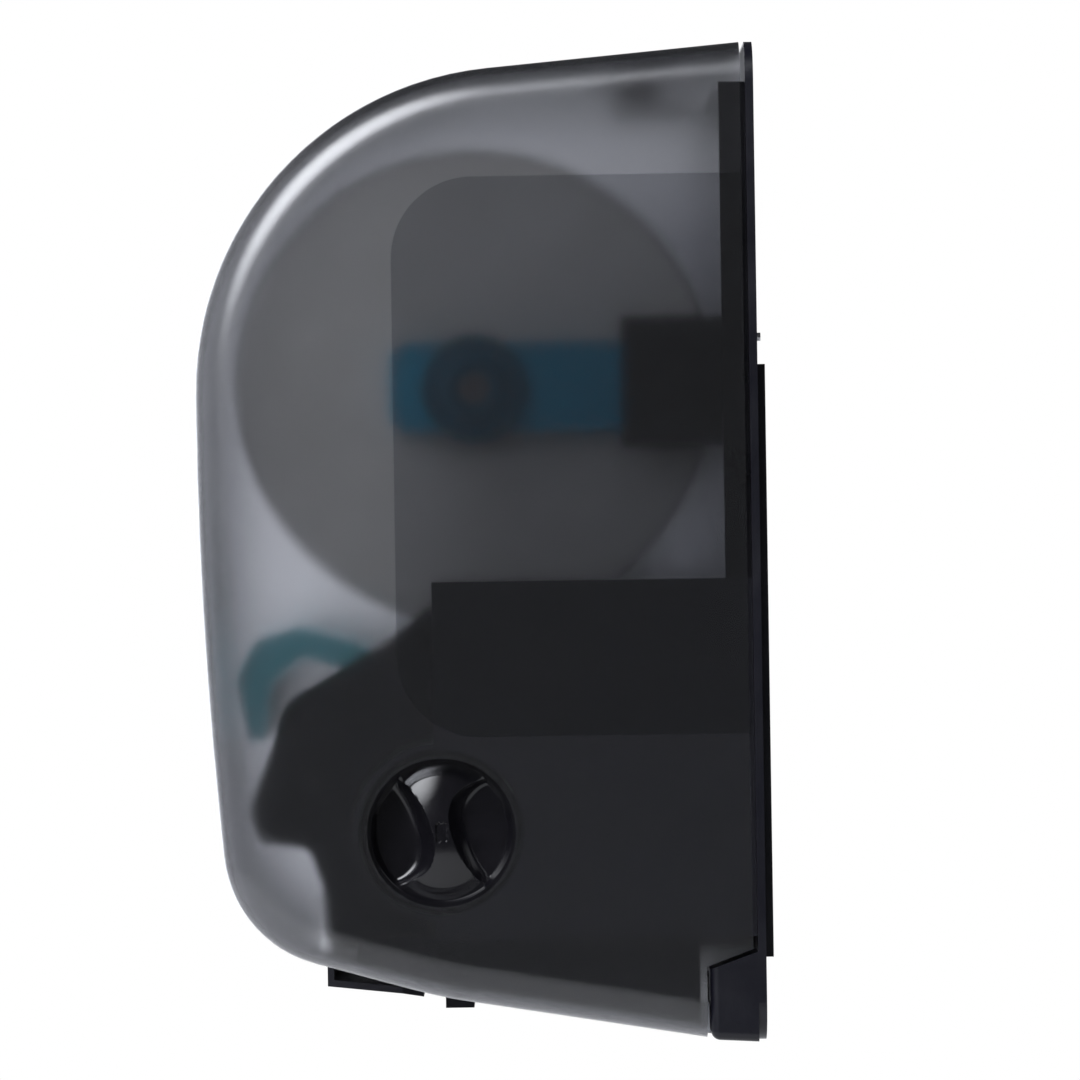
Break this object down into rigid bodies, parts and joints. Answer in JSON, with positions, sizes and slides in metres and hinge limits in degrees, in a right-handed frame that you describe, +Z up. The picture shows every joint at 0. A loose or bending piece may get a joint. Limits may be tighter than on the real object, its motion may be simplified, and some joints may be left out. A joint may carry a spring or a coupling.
{
  "type": "roll towel dispenser",
  "caption": "Wall mounted hands free dispenser for a hard wound paper towel roll, with a smoke tinted hinged cover, sprung roll arms, a feed drum and a side feed knob.",
  "frame": {"origin": "on the wall face, half way across the dispenser and half way up its body", "axes": "+X towards the side with the feed knob, -Y out of the wall towards the user, +Z up"},
  "size_m": [0.326, 0.2313, 0.4043],
  "materials": {
    "smoke_cover": "smoke tinted translucent polycarbonate, fine matte texture",
    "cover_trim": "dark moulded strip on the top of the cover",
    "black_plastic": "black ABS, fine texture",
    "knob_plastic": "polished black",
    "grey_plastic": "grey acetal",
    "teal_plastic": "teal ABS",
    "dark_teal_plastic": "dark teal nylon",
    "steel": "zinc plated",
    "lock_metal": "nickel plated",
    "rubber": "black rubber",
    "paper": "white crepe towel paper",
    "core_board": "grey brown board"
  },
  "bodies": {
    "frame": {"arm_bracket_left": "black_plastic", "arm_bracket_right": "black_plastic", "arm_pin_left": "steel", "arm_pin_right": "steel", "arm_spring_left": "steel", "arm_spring_right": "steel", "back_plate": "black_plastic", "bracket_screws": "steel", "cam_track": "black_plastic", "chute_front": "black_plastic", "chute_guard": "black_plastic", "chute_rear": "black_plastic", "drum_bush_left": "grey_plastic", "drum_bush_right": "grey_plastic", "hinge_block_left": "black_plastic", "hinge_block_right": "black_plastic", "hinge_pin_left": "steel", "hinge_pin_right": "steel", "lock_catch": "black_plastic", "module_deck": "black_plastic", "module_nose": "black_plastic", "module_plate_left": "black_plastic", "module_plate_right": "black_plastic", "pawl_pin": "steel", "side_housing_left": "black_plastic", "side_housing_right": "black_plastic", "transfer_pins": "steel"},
    "cover": {"cover": "smoke_cover", "lock_plaque": "cover_trim", "lock_barrel": "lock_metal", "lock_nut": "black_plastic"},
    "lock_plug": {"lock_plug": "lock_metal", "lock_tongue": "lock_metal"},
    "drum": {"drum_shell": "grey_plastic", "drum_end_right": "black_plastic", "drum_end_left": "black_plastic", "drum_shaft": "steel", "shaft_clip": "steel", "grip_bands": "rubber", "ratchet_wheel": "grey_plastic", "feed_knob": "knob_plastic"},
    "knife": {"knife_bar": "black_plastic", "knife_blade": "steel"},
    "pinch_roller": {"pinch_shaft": "steel", "pinch_sleeves": "rubber"},
    "transfer_bar": {"transfer_bar": "teal_plastic"},
    "roll": {"towel_roll": "paper", "roll_core": "core_board"},
    "arm_right": {"roll_arm_right": "teal_plastic"},
    "arm_left": {"roll_arm_left": "teal_plastic"},
    "hub_right": {"roll_hub_right": "dark_teal_plastic", "hub_cap_right": "dark_teal_plastic"},
    "hub_left": {"roll_hub_left": "dark_teal_plastic", "hub_cap_left": "dark_teal_plastic"},
    "pawl": {"ratchet_pawl": "grey_plastic"}
  },
  "joints": [
    {"name": "cover_hinge", "type": "hinge", "parent": "frame", "child": "cover", "pos_m": [0, -0.0175, -0.1955], "axis": [1, 0, 0], "range_deg": [0, 95]},
    {"name": "lock_turn", "type": "hinge", "parent": "cover", "child": "lock_plug", "pos_m": [0, -0.05, 0.18], "axis": [0, 0, -1], "range_deg": [0, 90]},
    {"name": "drum_spin", "type": "hinge", "parent": "frame", "child": "drum", "pos_m": [0, -0.1336, -0.1163], "axis": [1, 0, 0], "continuous": true},
    {"name": "knife_swing", "type": "hinge", "parent": "drum", "child": "knife", "pos_m": [0, -0.1026, -0.1403], "axis": [1, 0, 0], "range_deg": [-12, 0], "stiffness_Nm_per_rad": 0.3, "springref_deg": 11.46},
    {"name": "pinch_roller_spin", "type": "hinge", "parent": "frame", "child": "pinch_roller", "pos_m": [0, -0.18566, -0.09735], "axis": [1, 0, 0], "continuous": true},
    {"name": "transfer_bar_lift", "type": "hinge", "parent": "frame", "child": "transfer_bar", "pos_m": [0, -0.1525, -0.054], "axis": [1, 0, 0], "range_deg": [-18, 0]},
    {"name": "roll_spin", "type": "hinge", "parent": "frame", "child": "roll", "pos_m": [0, -0.1182, 0.0639], "axis": [1, 0, 0], "continuous": true},
    {"name": "arm_right_swing", "type": "hinge", "parent": "frame", "child": "arm_right", "pos_m": [0.106, -0.037, 0.0639], "axis": [0, 0, 1], "range_deg": [0, 7], "stiffness_Nm_per_rad": 2, "springref_deg": -17.19},
    {"name": "arm_left_swing", "type": "hinge", "parent": "frame", "child": "arm_left", "pos_m": [-0.106, -0.037, 0.0639], "axis": [0, 0, -1], "range_deg": [0, 7], "stiffness_Nm_per_rad": 2, "springref_deg": -17.19},
    {"name": "hub_right_spin", "type": "hinge", "parent": "arm_right", "child": "hub_right", "pos_m": [0.106, -0.1182, 0.0639], "axis": [1, 0, 0], "continuous": true},
    {"name": "hub_left_spin", "type": "hinge", "parent": "arm_left", "child": "hub_left", "pos_m": [-0.106, -0.1182, 0.0639], "axis": [1, 0, 0], "continuous": true},
    {"name": "pawl_swing", "type": "hinge", "parent": "frame", "child": "pawl", "pos_m": [0.123, -0.104, -0.098], "axis": [1, 0, 0], "range_deg": [-12, 0], "stiffness_Nm_per_rad": 0.02, "springref_deg": 17.19}
  ],
  "couplings": [
    {"joint": "pinch_roller_spin", "follows": "drum_spin", "ratio": -5.1111},
    {"joint": "hub_right_spin", "follows": "roll_spin", "ratio": 1},
    {"joint": "hub_left_spin", "follows": "roll_spin", "ratio": 1}
  ]
}
